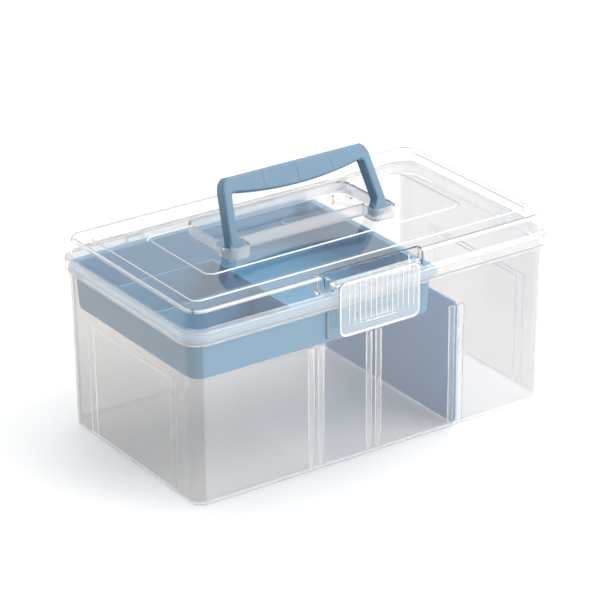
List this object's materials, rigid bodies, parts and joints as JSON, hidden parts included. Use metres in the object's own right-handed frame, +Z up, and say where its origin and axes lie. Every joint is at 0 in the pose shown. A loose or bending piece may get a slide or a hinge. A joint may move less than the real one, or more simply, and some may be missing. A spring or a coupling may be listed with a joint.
{
  "type": "art supply box",
  "caption": "Clear plastic art supply box with a hinged domed lid, folding carry handle, front flap latch, lift-out compartment tray and slot-in divider.",
  "frame": {"origin": "middle of the flat underside of the box", "axes": "+X along the long side, to the right seen from the latch; -Y towards the latch; +Z up"},
  "size_m": [0.33, 0.1992, 0.2024],
  "materials": {
    "clear_body": "frosted clear polypropylene",
    "clear_lid": "smooth clear polypropylene",
    "clear_latch": "smooth clear plastic",
    "blue_handle": "satin moulded plastic",
    "blue_tray": "satin moulded plastic",
    "blue_divider": "satin moulded plastic"
  },
  "bodies": {
    "box": {"box_body": "clear_body"},
    "lid": {"lid": "clear_lid"},
    "handle": {"handle": "blue_handle"},
    "latch": {"front_latch": "clear_latch"},
    "tray": {"tray": "blue_tray"},
    "divider": {"divider": "blue_divider"}
  },
  "joints": [
    {"name": "lid_hinge", "type": "hinge", "parent": "box", "child": "lid", "pos_m": [0, 0.0974, 0.1285], "axis": [-1, 0, 0], "range_deg": [0, 105]},
    {"name": "handle_pivot", "type": "hinge", "parent": "lid", "child": "handle", "pos_m": [0, -0.001, 0.1528], "axis": [1, 0, 0], "range_deg": [-65, 35]},
    {"name": "latch_pivot", "type": "hinge", "parent": "lid", "child": "latch", "pos_m": [-0.0035, -0.091, 0.1495], "axis": [-1, 0, 0], "range_deg": [0, 110]},
    {"name": "tray_lift", "type": "slide", "parent": "box", "child": "tray", "axis": [0, 0, 1], "range_m": [0, 0.05]},
    {"name": "divider_lift", "type": "slide", "parent": "box", "child": "divider", "axis": [0, 0, 1], "range_m": [0, 0.138]}
  ],
  "couplings": [
    {"joint": "tray_lift", "follows": "lid_hinge", "m_per_rad": 0.0272},
    {"joint": "divider_lift", "follows": "lid_hinge", "m_per_rad": 0.0753}
  ]
}
